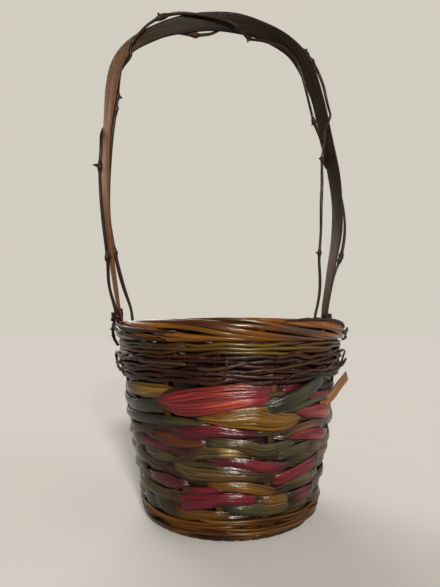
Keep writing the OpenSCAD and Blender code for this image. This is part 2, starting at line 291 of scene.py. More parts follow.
class Strands:
    """Gathers swept strands into one mesh, with a colour and a grain at every point."""

    def __init__(self):
        self.points, self.faces, self.dyes, self.grains, self.count = [], [], [], [], 0

    def add(self, line, out, half_w, half_t, dyes, seed, sides=10, square=0.6, roll=0, closed=False):
        """Sweeps a section along line. out faces away from the strand's flat side, and roll turns it."""
        n = len(line)
        ahead = (np.roll(line, -1, 0) - np.roll(line, 1, 0)) if closed else np.gradient(line, axis=0)
        travel = unit(ahead)
        across = unit(np.cross(travel, out))
        face = np.cross(across, travel)
        turn = np.radians(np.broadcast_to(roll, n))[:, None]
        across, face = (np.cos(turn) * across + np.sin(turn) * face,
                        np.cos(turn) * face - np.sin(turn) * across)
        shape = section(sides, square)
        x = np.broadcast_to(half_w, n)[:, None] * shape[:, 0]
        y = np.broadcast_to(half_t, n)[:, None] * shape[:, 1]
        rings = line[:, None] + x[..., None] * across[:, None] + y[..., None] * face[:, None]
        run = np.broadcast_to(lengths(line)[:, None] + seed * GRAIN_SHIFT, x.shape)
        stretch = n if closed else n - 1
        i, j = np.meshgrid(np.arange(stretch), np.arange(sides), indexing="ij")
        a, b, j_next = i * sides, (i + 1) % n * sides, (j + 1) % sides
        quads = np.stack([a + j, b + j, b + j_next, a + j_next], -1).reshape(-1, 4) + self.count
        self.faces += quads.tolist()
        if not closed:
            self.faces.append([self.count + k for k in range(sides)])
            self.faces.append([self.count + (n - 1) * sides + k for k in reversed(range(sides))])
        self.points.append(rings.reshape(-1, 3))
        self.grains.append(np.stack([run, x, y], -1).reshape(-1, 3))
        # Painted shade: each strand is darker at its edges, where it meets its neighbours.
        shade = 1 - STRAND_EDGE_SHADE * np.abs(shape[:, 0]) ** 8
        self.dyes.append((np.broadcast_to(dyes, (n, 3))[:, None] * shade[:, None]).reshape(-1, 3))
        self.count += n * sides

    def piece(self, name, slot, *nodes):
        """Makes the mesh, gives it its material, and says what it rides on and stands for."""
        mesh = bpy.data.meshes.new(name)
        mesh.from_pydata((np.concatenate(self.points) * MM).tolist(), [], self.faces)
        colours = np.pad(np.clip(np.concatenate(self.dyes), 0, 1), ((0, 0), (0, 1)), constant_values=1)
        mesh.attributes.new("dye", "FLOAT_COLOR", "POINT").data.foreach_set("color", colours.ravel())
        grains = np.concatenate(self.grains)
        mesh.attributes.new("grain", "FLOAT_VECTOR", "POINT").data.foreach_set("vector", grains.ravel())
        mesh.shade_smooth()
        mesh.materials.append(strand_material(slot))
        made = placed(name, mesh)
        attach(made, "root")
        if nodes:
            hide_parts(*nodes)


# How much lighter or darker one strand may be than the next.
SPREAD = 0.26


def toned(colour, rng):
    """A strand's own shade of a dye, a little lighter or darker, warmer or cooler."""
    return colour * rng.uniform(1 - SPREAD, 1 + SPREAD) * rng.uniform(1 - SPREAD / 3, 1 + SPREAD / 3, 3)


# ---- coloured weave ----

# How far a bundle's edges stand off the stakes' line where it passes over one, how much further its
# middle does, and how much each edge draws in where it goes inside one, round the back.
STAND = 1.7
CROWN = 0.7
TUCK = 1.2
# How far a bundle spreads past its set edges, half of its least height, and half of a strip's thickness.
SLACK = 0.8
LEAST_HALF = 1.8
STRIP_HALF_T = 0.3

# The rows from the top down: name, number of strips, their width, and the keys of the front. A key is
# the angle from the middle of the front, the bundle's top, bottom and place (1 is outside a stake, -1 is
# inside it) and its dye, where that changes. The first list runs to the right from the row's start, and
# the second ends on the left.
ROWS = [
    # The top pink row is painted crimson towards the left tip of its front stretch and a brighter salmon
    # over the middle of the front. The crimson is painted shade, where little light falls, and the salmon
    # is painted light, where the key light falls.
    ("pink", 10, 2.3, [(-42, 89.5, 88, -0.7, "crimson"), (-36, 91, 86, 0.6), (-30, 94, 83.5, 1.1, "pink"),
     (-23, 97.5, 81, 1.2), (-15, 99.5, 80.8, 1.2), (-6, 100, 81.5, 1.2, "salmon"), (3, 100, 82.5, 1.15),
     (11, 99.5, 85.5, 1, "pink"), (17, 99, 88, 0.5), (22, 98, 91, -1, "magenta"), (27, 99.5, 92, 0.3),
     (33, 99.5, 93, -0.2), (40, 95, 88, 0, "pink"), (46, 93, 87.5, 1), (57, 91.5, 86.5, 0.8),
     (64, 90, 85, -0.5), (71, 93, 86, -1)], [(-83, 95, 90, -1, "mauve"), (-70, 95.5, 89.5, 0.3, "tan"),
     (-57, 97.3, 89.5, 1), (-45, 98.3, 89.3, 1, "gold"), (-34, 99, 91.5, 0.7), (-29, 97.5, 94, -0.4),
     (-25, 96, 94, -1)]),
    ("gold", 8, 2.1, [(-17, 81, 78, -0.6, "ochre"), (-11, 82, 77.5, 1), (-2, 83, 75, 1.3, "gold"),
     (5, 85.5, 73, 1.2), (12, 86.3, 71.7, 1.3), (20, 83.5, 71, 1.3), (27, 81.3, 71.7, 1.2),
     (33, 80, 74.5, 0.8, "ochre"), (38, 78.7, 77, -0.3, "tan"), (45, 78, 75, -1),
     (58, 76, 70.5, 0.6, "sage"), (71, 74, 67.5, 1)], [(-83, 78, 72, 1, "sage"), (-70, 77, 71.5, 0.9),
     (-57, 78, 72, 1), (-47, 78.3, 72.3, 1, "slate"), (-35, 79, 74, 1), (-25, 79, 74.5, 1, "sage"),
     (-14, 77.7, 74, 0.6), (-6, 77, 74, -0.6, "olive"), (2, 77, 74, -1)]),
    ("crimson", 7, 2.1, [(-35, 72.5, 68, -1, "crimson"), (-29, 73, 66.5, 0.2), (-25, 74.5, 65.5, 0.9),
     (-17, 75, 66, 1.1), (-7, 76, 69, 1.1, "magenta"), (2, 73.5, 68.5, 1, "crimson"), (8, 72, 68.5, 0.7),
     (14, 71, 68.5, -0.2), (20, 70.5, 66, -1, "mauve"), (27, 72, 64, 0.5), (35, 74, 68.5, 0.9, "tan"),
     (45, 75, 69.5, 1), (53, 74, 69, 0.8, "mauve"), (61, 72.5, 69, -0.2), (71, 72, 68, -1, "crimson")],
     [(-83, 71, 67, -1, "mauve"), (-70, 70.5, 65, 0.4), (-57, 70.5, 64.5, 1), (-49, 71.5, 66.5, 0.8),
     (-41, 73.5, 69, 0.5, "brown"), (-36, 73, 69.5, -0.3), (-31, 72.5, 69, -1)]),
    ("sage", 7, 2.1, [(-13, 65, 63.5, -0.7, "sage"), (-8, 67, 62.5, 0.6), (0, 67.3, 61.3, 1, "khaki"),
     (8, 67, 58.5, 1.1), (16, 64, 56.5, 1.2, "sage"), (24, 64, 58, 1.1), (31, 64, 61, 0.8),
     (36, 63.8, 62.3, -0.4), (45, 64, 60, -1), (58, 60, 55, 0.5, "khaki"), (71, 60, 53, 1)],
     [(-83, 64, 56.5, 1, "mauve"), (-70, 65, 60, 0.3), (-57, 66, 62, -1, "brown"), (-50, 68.5, 64, 0.1),
     (-42, 69, 62.5, 0.8), (-32, 69, 60.5, 1, "orange"), (-22, 66, 60.5, 1), (-14, 66.2, 61, 0.7),
     (-9, 65.5, 62, -0.6, "brown")]),
    # The cream over the middle of the front of this khaki row is a painted highlight, where the key light
    # glares on it.
    ("khaki", 7, 2.2, [(-29, 59, 54, -0.8, "brown"), (-26, 60.5, 52, 0.5), (-20, 60, 52.5, 0.7),
     (-14, 61.5, 54.5, 0.8, "khaki"), (-6, 62, 56, 1.1), (0, 61.7, 56.5, 1.1, "cream"),
     (6, 60.5, 56, 0.7, "khaki"), (12, 58.5, 55, -0.3), (20, 58, 53, -1, "sage"), (26, 59, 52.5, 0.4),
     (33, 60, 54, 0.8), (40, 61, 54.5, 0.9, "khaki"), (45, 61.5, 54, 1, "brown"), (55, 59, 53, 0.8, "tan"),
     (63, 58, 53, -0.3), (71, 57, 52, -1, "khaki")], [(-83, 61, 57, -1, "mauve"), (-70, 62, 56.5, 0.3),
     (-57, 63, 56.5, 1), (-49, 64.3, 57, 1, "crimson"), (-42, 63, 57.5, 1), (-35, 62.7, 56, 0.8),
     (-30, 61.5, 57, -0.6), (-26, 60, 57, -1)]),
    ("crimson", 7, 2.0, [(-15, 54, 52, -0.8, "crimson"), (-9, 55.7, 51.5, 0.5), (0, 55.7, 50.5, 1),
     (8, 55.3, 48.5, 1.1, "magenta"), (15, 53.5, 46.5, 1.2, "pink"), (22, 52, 45.3, 1.1, "magenta"),
     (29, 50.5, 46.5, 0.7, "mauve"), (34, 50.5, 48.5, -0.4), (45, 51, 47, -1), (58, 53, 47.5, 0.4, "tan"),
     (71, 53, 46, 1)], [(-83, 54, 47, 1, "khaki"), (-70, 53, 48, 0), (-57, 53, 49, -1, "sage"),
     (-52, 57, 48.5, 0.2), (-43, 57.5, 50, 0.9), (-33, 55.5, 50, 1), (-27, 54, 50, 0.5, "brown"),
     (-21, 53, 50, -0.8)]),
    ("khaki", 8, 2.0, [(-33, 50, 46, -1, "khaki"), (-28, 52, 44.5, 0.5), (-20, 53, 40.5, 1),
     (-11, 51.7, 40.3, 1.1), (-3, 50, 40.5, 1.2), (5, 48.5, 41, 1.1), (12, 47.5, 41, 0.8),
     (16, 46.5, 41.5, 0, "brown"), (20, 42, 37.5, -1, "crimson"), (25, 43, 37, 0.6, "pink"),
     (35, 46.3, 38.7, 1.1, "magenta"), (45, 49, 40.5, 1.1), (55, 50, 42, 0.9, "mauve"), (63, 48, 43, -0.2),
     (71, 47, 42, -1)], [(-83, 50, 45, -1, "slate"), (-70, 51, 45.5, 0.3), (-57, 53, 46, 1, "sage"),
     (-49, 52.5, 45, 0.9, "mauve"), (-42, 50.5, 43.5, 0.8), (-36, 50, 44, 0.2, "brown"),
     (-30, 49, 45, -1)]),
    ("ochre", 7, 1.9, [(-16, 39, 36, -0.6, "brown"), (-8, 40.3, 35, 0.8, "ochre"), (0, 40.2, 34.3, 1.1),
     (8, 39.5, 33, 1.2, "gold"), (15, 37.5, 31, 1.1, "ochre"), (22, 34.7, 30, 0.8), (27, 33, 30, -0.5),
     (45, 33, 30, -1, "brown"), (58, 36, 30, 0.4), (71, 36, 29, 1)], [(-83, 40, 33, 1, "khaki"),
     (-70, 40, 35, 0), (-57, 40, 36, -1, "crimson"), (-50, 40, 34.5, 0.2), (-42, 41.5, 34.5, 0.9),
     (-34, 43, 33.5, 1.1), (-28, 40, 34, 0.8), (-22, 39, 35, -0.6)]),
    ("magenta", 8, 2.1, [(-31, 27, 20, -0.6, "magenta"), (-26, 29, 19.5, 0.8), (-20, 31, 21, 1.1),
     (-11, 32, 23.3, 1.2), (-3, 33, 25.7, 1.2), (5, 33, 26, 1.25, "pink"), (11, 32, 26, 1, "magenta"),
     (15, 31, 26.5, 0.2, "brown"), (20, 30.5, 26, -1, "mauve"), (31, 29, 23.5, -0.6), (38, 29.5, 22.5, 0.7),
     (45, 30, 21.5, 1, "magenta"), (54, 30, 21.5, 0.9, "mauve"), (61, 29, 23, -0.2),
     (71, 28, 22, -1, "khaki")], [(-83, 31, 26, -1, "slate"), (-70, 32, 26, 0.4),
     (-57, 33, 25.5, 1, "sage"), (-47, 32, 24.5, 1, "khaki"), (-38, 31, 23.5, 0.7), (-33, 29, 23, -0.3),
     (-27, 28, 23, -1)]),
    ("sage", 7, 2.1, [(-7, 25.5, 24, -0.7, "slate"), (-1, 26, 21.5, 0.6), (6, 26, 20.3, 1.1, "sage"),
     (15, 25.2, 18.3, 1.2), (24, 24, 17.7, 1.1, "khaki"), (33, 23.3, 18.3, 0.8, "sage"),
     (37, 22.5, 19, -0.4), (45, 21, 16, -1, "brown"), (58, 21, 14.5, 0.5), (71, 21, 13.5, 1)],
     [(-83, 23, 14, 1, "mauve"), (-70, 22, 16, 0.2, "brown"), (-57, 22, 17, -1), (-47, 23.5, 16, 0.4),
     (-38, 23.5, 14.5, 0.9, "olive"), (-32, 22, 14, 1, "brown"), (-25, 20.5, 14, 0.8, "foot"),
     (-18, 20.5, 15.3, 0.8), (-10, 20.7, 15.5, 0.9), (-3, 20.3, 16, 0.5), (3, 20, 16.5, -0.8)]),
]

# Short bundles laid in between the rows: name, slot, number of strips, their width and keys as above.
INSERTS = [
    ("sage_sweep", "sage", 9, 1.9, [(6, 81, 79, -1, "sage"), (11, 84.5, 82, -0.4), (15, 87.5, 84, 0.6),
     (20, 91, 83, 1.4, "slate"), (25, 93.3, 84, 1.7), (35, 98.4, 87.7, 1.8, "sage"),
     (42, 101.5, 91.5, 1.6, "slate"), (48, 103, 95.5, 1), (54, 104, 99, 0)]),
    ("olive_sweep", "sage", 3, 1.7, [(18, 83, 81.3, -0.5, "olive"), (26, 84.5, 82, 0.9),
     (32, 85.5, 82.3, 1.2, "sage"), (40, 88, 85, 1.3), (49, 90, 86.5, 1.2), (58, 87.5, 85.3, 1, "olive"),
     (66, 86, 84, -0.6)]),
    ("slate_left", "sage", 6, 2.2, [(-114, 88, 81, -1.2, "slate"), (-100, 89, 80, -1.2), (-92, 88, 80, -1),
     (-83, 88, 80, 1), (-70, 86, 80.5, 0.7), (-60, 86.5, 80, 0.8), (-53, 88, 80, 1), (-46, 88.7, 80.3, 1.1),
     (-40, 89, 81, 1), (-34, 87, 81, 0.5, "olive"), (-28, 84.5, 81.5, -0.8)]),
    # The pale strip lies along the top of the gold row, and its cream middle is a painted highlight.
    ("pale_strip", "gold", 2, 1.4, [(-3, 84.3, 83, 0.2, "gold"), (3, 85.5, 83.3, 1.5, "cream"),
     (9, 86.6, 83.8, 1.6), (15, 86.8, 84.5, 1.4, "gold"), (20, 86, 84, 0.2)]),
    ("pink_right", "pink", 6, 2.1, [(28, 83, 81.5, -0.8, "pink"), (34, 83.5, 80.3, 0.8),
     (41, 84.5, 77.5, 1.2), (50, 86, 76, 1.3), (60, 83.5, 73.5, 1.2, "salmon"),
     (67, 80.5, 72.5, 0.6, "pink"), (75, 78, 73, -0.9)]),
    ("crimson_right", "crimson", 5, 2.0, [(27, 67, 65, -0.9, "crimson"), (34, 69, 64.5, 0.8, "pink"),
     (45, 69, 61.7, 1.2, "magenta"), (55, 67, 59.5, 1.2), (65, 64, 60, 0.6, "crimson"),
     (73, 62.5, 59.5, -0.9)]),
    ("crimson_low", "crimson", 4, 1.7, [(-29, 34, 32, -0.7, "crimson"), (-22, 37, 31.3, 0.9),
     (-12, 37.3, 32.3, 1.1, "magenta"), (-5, 37, 33.5, 1, "crimson"), (0, 36, 34, -0.4)]),
    ("khaki_right", "khaki", 4, 1.9, [(29, 37, 34, -0.9, "khaki"), (37, 39.5, 34.5, 0.7),
     (45, 40.3, 34, 1.1), (55, 40, 34.5, 0.9, "sage"), (64, 39, 36, -0.7)]),
    ("brown_right", "ochre", 9, 2.9, [(30, 99, 87, -0.6, "brown"), (40, 101, 85, -1.2, "mauve"),
     (55, 101, 80, -1.3, "brown"), (68, 101, 75, -1.3), (84, 101, 75, -1.2, "mauve"),
     (96, 98, 82, -0.6, "brown")]),
    ("ochre_right", "ochre", 5, 1.9, [(14, 29, 26, -0.9, "ochre"), (19, 29.7, 23, 0.8),
     (25, 29.7, 22.3, 1.2), (31, 29, 22.3, 1), (37, 27, 23.5, -0.6, "brown")]),
]

# Strips that close gaps: how many lie side by side, and their width. Each row has some that pass the
# stakes the other way: how far outside, and half the height they fill. Others back the joints over and
# under the top row: how far they reach below and above the joint.
CLOSERS = (4, 2.9)
COUNTER_DEPTH = 0.35
COUNTER_HALF = 4.7
OVER_TOP_ROW = (5, 3)
UNDER_TOP_ROW = (4.5, 2.5)

# Painted shade on a bundle: how much of its colour it keeps where it passes behind a stake, and how much it
# loses towards its top and bottom, where the rows shade each other.
DEEP_SHADE_LEVEL = 0.35
BAND_EDGE_SHADE = 0.35


def filled(keys):
    """The keys, with each missing dye taken from the key before."""
    whole = []
    for key in keys:
        whole.append(key if len(key) == 5 else (*key, whole[-1][4]))
    return whole


def rule_keys(row, node, name):
    """Keys round the back, from the right side to the left: over one stake and inside the next."""
    lo, hi = span(node)
    middle, half = (lo[2] + hi[2]) / 2, (hi[2] - lo[2]) / 2
    rng = default_rng(50 + row)
    others = ["mauve", "khaki", "sage", "brown", name, name]
    shades = [name] * 2 + list(rng.choice(others, 5))
    keys = []
    for place, shade in zip(range(3, 10), shades):
        over = (place + row) % 2 == 1
        h = half if over else half - TUCK
        z = middle + rng.uniform(-0.5, 0.5)
        keys.append((place * STEP - FRONT, z + h, z - h, 1 if over else -1, shade))
    return keys


def weave(strands, keys, count, width, rng):
    """Weaves one bundle of count flat strips, side by side, through the keys."""
    keys = filled(keys)
    angles = np.arange(keys[0][0], keys[-1][0] + 0.6, 1.2)
    at = [k[0] for k in keys]
    top, bottom, depth = through(angles, at, [k[1:4] for k in keys]).T
    shades = np.stack([np.interp(angles, at, c) for c in np.array([dye(k[4]) for k in keys]).T], 1)
    middle, half = (top + bottom) / 2, np.maximum((top - bottom) / 2 + SLACK, LEAST_HALF)
    # Painted shade: a strip is darker where its bundle passes behind a stake, and further below towards the
    # bundle's top and bottom edges.
    stake_shade = DEEP_SHADE_LEVEL + (1 - DEEP_SHADE_LEVEL) * np.clip(0.4 + 0.6 * depth, 0, 1)[:, None]
    ends = np.minimum(angles - angles[0], angles[-1] - angles)
    taper = np.clip(0.3 + ends / 6, 0, 1)
    crowd = np.clip(count * width / (2 * half) - 1, 0, 4)
    ranks = rng.permutation(count) - (count - 1) / 2
    sway = 0.2 * wander(angles, rng, 2, 7)
    for j in range(count):
        place = 2 * (j + 0.5) / count - 1 + rng.normal(0, 0.05)
        f = np.clip(place + sway + 0.05 * wander(angles, rng, 3, 12), -1, 1)
        half_w = np.minimum(width / 2 * rng.uniform(0.85, 1.2), 0.8 * half) * taper
        half_w = half_w * (1 + 0.05 * wander(angles, rng, 4, 16))
        z = middle + f * np.maximum(half - half_w, 0) + 0.05 * wander(angles, rng, 6, 20)
        layer = ranks[j] / count * crowd * 1.4 * STRIP_HALF_T + 0.12 * wander(angles, rng, 4, 12)
        radius = side_at(z) + depth * (STAND + CROWN * (1 - f * f)) + layer
        tilt = np.radians(20 * f * depth + 4 + rng.normal(0, 4))
        out = around(np.cos(tilt), angles + FRONT, np.sin(tilt))
        strands.add(around(radius, angles + FRONT, z), out, half_w, STRIP_HALF_T * rng.uniform(0.85, 1.2),
                    toned(shades, rng) * stake_shade * (1 - BAND_EDGE_SHADE * f * f)[:, None], rng.uniform(0, 99),
                    square=0.4, roll=5 * wander(angles, rng, 4, 14))


def counter_keys(row, node, rng):
    """Keys of the strips that close the gaps: over the stakes that the bundle passes inside."""
    lo, hi = span(node)
    keys = []
    for place in range(-5, STAKES - 3):
        z = (lo[2] + hi[2]) / 2 + rng.uniform(-0.4, 0.4)
        depth = -0.8 if (place + row) % 2 else COUNTER_DEPTH
        shade = rng.choice(["brown", "brown", "mauve", "olive", "khaki", "straw"])
        keys.append((place * STEP - FRONT, z + COUNTER_HALF, z - COUNTER_HALF, depth, shade))
    return keys


def backing_keys(bottom, top):
    """Keys of strips that close a joint in the wall, and pass inside all the stakes."""
    return [(place * STEP - FRONT, top, bottom, -1, "brown") for place in range(-5, STAKES - 3)]


def make_tan_end():
    """The end of a broad tan strip, which runs straight on past the right side."""
    keys = [(52, 76, 83), (60, 79, 87.6), (72.6, 81.2, 93), (84, 87, 98)]
    angle, radius, z = smooth(keys, np.arange(0, 3.01, 0.1)).T
    line = around(radius, angle + FRONT, z)
    out = around(1, 28 + FRONT, 0)
    across = unit(np.cross(unit(np.gradient(line, axis=0)), out))
    rng = default_rng(220)
    strands = Strands()
    for shift in (-2, 0, 2):
        strands.add(line + across * shift, out, 1.3, 0.45, toned(dye("splint_red") * 0.7, rng), shift,
                    square=0.4)
    strands.piece("insert_tan_end", "stake_splint")


def make_weave():
    """The ten coloured rows and the short strips between them."""
    for row, (name, count, width, right, left) in enumerate(ROWS):
        node = f"bundle_{row + 1:02}_{name}"
        rng = default_rng(100 + row)
        keys = right + rule_keys(row, node, name) + [(a + 360, *rest) for a, *rest in left]
        strands = Strands()
        weave(strands, keys, count, width, rng)
        weave(strands, counter_keys(row, node, rng), *CLOSERS, rng)
        if row == 0:
            lo, hi = span(node)
            seam = (lo[2] + hi[2]) / 2 - COUNTER_HALF
            over = backing_keys(hi[2] - OVER_TOP_ROW[0], span("vine_row_6")[0][2] + OVER_TOP_ROW[1])
            weave(strands, over, *CLOSERS, rng)
            weave(strands, backing_keys(seam - UNDER_TOP_ROW[0], seam + UNDER_TOP_ROW[1]), *CLOSERS, rng)
        strands.piece(f"weave_{row + 1:02}_{name}", f"strip_{name}", node)
    for number, (name, slot, count, width, keys) in enumerate(INSERTS):
        strands = Strands()
        weave(strands, keys, count, width, default_rng(200 + number))
        strands.piece(f"insert_{name}", f"strip_{slot}")
    make_tan_end()


# ---- stakes ----

# The crossing under the base: four stakes lie along X, a little lower than three along Y.
CROSS_PITCH = 6
CROSS_HALF_X = 12
CROSS_HALF_Y = 14.5
CROSS_DROP = 1


def leg(angle, cross, lift):
    """Points of a leg from the crossing out to the rim, each with the way that its outer face looks."""
    rz = PROFILE[1:-1]
    travel = unit(np.gradient(rz, axis=0))
    wall = np.hstack([around(rz[:, 0], angle, rz[:, 1]), around(travel[:, 1], angle, -travel[:, 0])])
    return np.vstack([[*cross, PROFILE[0][1] + lift, 0, 0, -1], wall])


def make_stake(number, angle_a, angle_b, cross_a, cross_b, lift):
    """A flat splint stake: down one side, under the base and up the other."""
    rng = default_rng(300 + number)
    points = np.vstack([leg(angle_a, cross_a, lift)[::-1], leg(angle_b, cross_b, lift)])
    length = lengths(points[:, :3])
    s = np.linspace(0, length[-1], 150)
    line, out = np.hsplit(through(s, length, points), 2)
    turn = s / length[-1] * 360
    # Painted light: the top of the front stake is painted a lighter tan where it is lit, while the other
    # stakes stay the darker straw.
    pale = np.clip((line[:, 2] - 84) / 6, 0, 1)[:, None] * (line[:, 1:2] < 0) * (angle_b == 0)
    lo, hi = span("stake_6")
    strands = Strands()
    strands.add(line, unit(out), (hi[0] - lo[0]) / 2 * (1 + 0.04 * wander(turn, rng, 5, 30)), 0.5,
                dye("straw") + (dye("tan") - dye("straw")) * pale, number, sides=12, square=0.35)
    strands.piece(f"splint_stake_{number}", "stake_splint", f"stake_{number}")


def make_stakes():
    for i in range(4):
        k = i - 1.5
        a, y = 90 + k * STEP, k * CROSS_PITCH
        make_stake(i + 1, -a, a, (-CROSS_HALF_X, y), (CROSS_HALF_X, y), -CROSS_DROP)
    for i in range(3):
        k = i - 1
        a, x = k * STEP, k * CROSS_PITCH
        make_stake(i + 5, 180 - a, a, (x, CROSS_HALF_Y), (x, -CROSS_HALF_Y), 0)


# ---- reeds and vines woven round the stakes ----

TURN = np.arange(0, 360, 1.2)


def past_stakes(signs):
    """Place round the bowl of a reed that passes outside (1) or inside (-1) each stake in turn."""
    keys = np.arange(-1, STAKES + 2)
    return through(TURN, keys * STEP, [signs[k % STAKES] for k in keys])[:, 0]


def reed(strands, s, off, half, shades, rng, knots=0):
    """A round reed or vine that goes once round, s along the stakes' line and off outside it."""
    rz, normal = on_profile(s, off)
    line = around(rz[:, 0], TURN, rz[:, 1])
    out = around(normal[:, 0], TURN, normal[:, 1])
    size = half * (1 + 0.07 * wander(TURN, rng, 4, 20))
    for at in rng.uniform(0, 360, knots):
        size = size * (1 + 0.38 * np.exp(-(half_turn(TURN - at) / 0.9) ** 2))
    strands.add(line, out, size, size * 0.92, shades, rng.uniform(0, 99), sides=8, square=0.95, closed=True)


def streaked(names, rng):
    """Colour along a full turn, wandering between two dyes."""
    mix = np.clip(0.5 + 0.6 * wander(TURN, rng, 2, 9), 0, 1)[:, None]
    return toned(dye(names[0]), rng) * (1 - mix) + toned(dye(names[1]), rng) * mix


# Where the trim's painted highlight, a lighter green, is strongest, in degrees from the middle of the
# front, and how far it spreads.
TRIM_HIGHLIGHT_AT = 12
TRIM_HIGHLIGHT_WIDTH = 16


def lit_green(rng):
    """Colour of a trim reed: brown olive, with a lighter green strewn round it and gathered right of the
    middle of the front as a painted highlight.
    """
    mix = np.exp(-(half_turn(TURN - FRONT - TRIM_HIGHLIGHT_AT) / TRIM_HIGHLIGHT_WIDTH) ** 2)[:, None]
    mix = np.clip(mix + 0.12 + 0.2 * wander(TURN, rng, 2, 9)[:, None], 0, 1)
    return toned(dye("trim"), rng) * (1 - mix) + dye("trim_green_highlight") * mix


def pair(strands, s, reach, half, names, rng, signs, sway, twist=0.6, knots=0):
    """Two reeds that change places between stakes, one outside while the other is inside."""
    for side in (1, -1):
        place = past_stakes([side * v for v in signs])
        crossing = np.sqrt(np.clip(1 - place ** 2, 0, 1))
        along = s + side * twist * half * crossing + sway * wander(TURN, rng, 5, 26)
        shades = streaked(names, rng) if names else lit_green(rng)
        reed(strands, along, place * reach, half, shades, rng, knots=knots)


def mostly_out(rng, inside):
    """Signs of a reed that stays outside all stakes but a few."""
    signs = [1] * STAKES
    for k in rng.choice(STAKES, inside, replace=False):
        signs[k] = -1
    return signs


def finish_row(strands, name, kind, slot, row):
    """Makes a row's piece. The first of a kind stands for the rings inside the stakes too."""
    nodes = [f"{kind}_{row}"] + ([f"{kind}s_inner"] if row == 1 else [])
    strands.piece(f"{name}_{row}", slot, *nodes)


EVERY_OTHER = [1, -1] * (STAKES // 2)
# Half of a stake's thickness with a little air, half of a foot reed, and half of a vine as a share of
# its CAD ring's thickness.
STAKE_HALF = 0.6
REED_HALF = 1.15
VINE_SHARE = 0.55


def make_vines():
    """Six rows of dark knotty vine under the rim."""
    for row in range(1, 7):
        rng = default_rng(400 + row)
        _, z, d = ring_of(f"vine_row_{row}")
        strands = Strands()
        s = place_of(side_at(z)[0], z)
        pair(strands, s, STAKE_HALF + d / 2, VINE_SHARE * d, ("bark", "bark_red"), rng, mostly_out(rng, 4),
             sway=0.8, knots=18)
        inside = 0.25 * wander(TURN, rng, 4, 14) - STAKE_HALF - 0.8 * d
        reed(strands, s + d / 2 + 0.3 * wander(TURN, rng, 4, 18), inside, VINE_SHARE * d,
             streaked(("bark", "bark_red"), rng), rng, knots=9)
        finish_row(strands, "vine", "vine_row", "vine", row)


# Loose vines over the band: angle from the middle of the front, height and distance outside the stakes.
LOOSE_VINES = [
    [(4, 107, 2.2), (10, 108.5, 3.6), (20, 109.5, 4.2), (32, 111.5, 4.2), (44, 113.5, 3.2), (50, 114, 2)],
    [(-14, 110, 2), (-8, 109.5, 3.8), (-2, 110.5, 4), (4, 112.5, 3.4), (8, 113, 1.8)], [(-70, 114, 1.5),
    (-80, 116, 4.4), (-88, 113.5, 7.4), (-90, 109, 8), (-84, 104.5, 5.6), (-74, 103, 1.5)],
    [(-52, 117, 1.5), (-60, 115.5, 4), (-70, 110, 4.6), (-80, 106, 5.4), (-88, 102, 4), (-94, 100, 1.5)],
    [(66, 115, 1.5), (76, 117.5, 4.2), (86, 115.5, 7.4), (90, 111.5, 7.8), (84, 108, 5), (74, 107, 1.5)],
    [(68, 104, 1.8), (76, 107, 5), (84, 110, 8), (89, 109, 9.5), (91, 105.5, 8.6), (92, 103, 6.4)],
    [(-3, 102.5, 2), (-2.4, 105, 4), (-1.6, 110, 4.4), (-1.2, 114.5, 3.8), (-1.5, 117, 2)], [(70, 130, 5),
    (80, 133, 6.6), (88, 131.5, 8), (90, 128.5, 8), (84, 126, 6.5), (74, 125.5, 4)], [(18, 136, 2),
    (28, 138.6, 2), (40, 139.4, 1.4), (56, 139.2, 1.4), (68, 137, 3.5), (76, 134, 4)], [(-69, 147, 0),
    (-68, 141, 3.2), (-64, 137, 5.4), (-55, 134.4, 6), (-42, 133, 5.8), (-30, 132, 5.2), (-22, 131, 3)],
    [(-71, 148, 1.5), (-72, 142, 4.6), (-68, 136, 6.2), (-60, 131, 6.4), (-48, 128.5, 5.6), (-36, 127.5, 5),
    (-28, 127, 3)], [(-72, 145, 2), (-76, 138, 5.2), (-82, 132, 7), (-84, 126, 7), (-80, 121, 4)],
    [(26, 103, 2), (30, 105.5, 4.2), (38, 107.5, 4.4), (48, 107, 4), (56, 109.5, 3.2), (60, 111, 2)],
]


def make_tangle():
    """Loose ends and loops of vine over the band, listed in front and strewn elsewhere."""
    rng = default_rng(420)
    routes = list(LOOSE_VINES)
    for start in np.arange(-60, 290, 17.0):
        a, reach = start + rng.uniform(-6, 6), rng.uniform(22, 40)
        z0 = rng.uniform(104, 115)
        z1 = z0 + rng.uniform(-4, 4)
        steps = [(0, 1.8), (0.15, 3.6), (0.5, 4.0), (0.85, 3.6), (1, 1.8)]
        routes.append([(a + reach * f, z0 + (z1 - z0) * f + rng.uniform(-0.6, 0.6), off)
                       for f, off in steps])
    strands = Strands()
    for route in routes:
        keys = smooth(route, np.arange(0, len(route) - 0.95, 0.1))
        line = around(side_at(keys[:, 1]) + keys[:, 2], keys[:, 0] + FRONT, keys[:, 1])
        out = around(1, keys[:, 0] + FRONT, 0)
        size = rng.uniform(0.75, 1.15) * (1 + 0.1 * wander(keys[:, 0] * 8, rng, 4, 20))
        for at in rng.integers(3, len(line) - 3, 2):
            size = size * (1 + 0.45 * np.exp(-((np.arange(len(line)) - at) / 1.2) ** 2))
            thorn(strands, line[at], unit(out[at] + rng.normal(0, 0.8, 3)), rng.uniform(1.5, 3), 0.8, at)
        strands.add(line, out, size, size, toned(dye(rng.choice(["bark", "bark_red", "bark_pale"])), rng),
                    rng.uniform(0, 99), sides=8, square=1)
    strands.piece("vine_tangle", "vine")


def make_trim():
    """Three thin olive rows between the rim and the vines."""
    for row in range(1, 4):
        rng = default_rng(440 + row)
        _, z, d = ring_of(f"trim_reed_{row}")
        strands = Strands()
        pair(strands, place_of(side_at(z)[0], z), STAKE_HALF + d / 2, d / 2, None, rng,
             mostly_out(rng, 3), sway=0.45, twist=1.0)
        finish_row(strands, "trim", "trim_reed", "trim_reed", row)


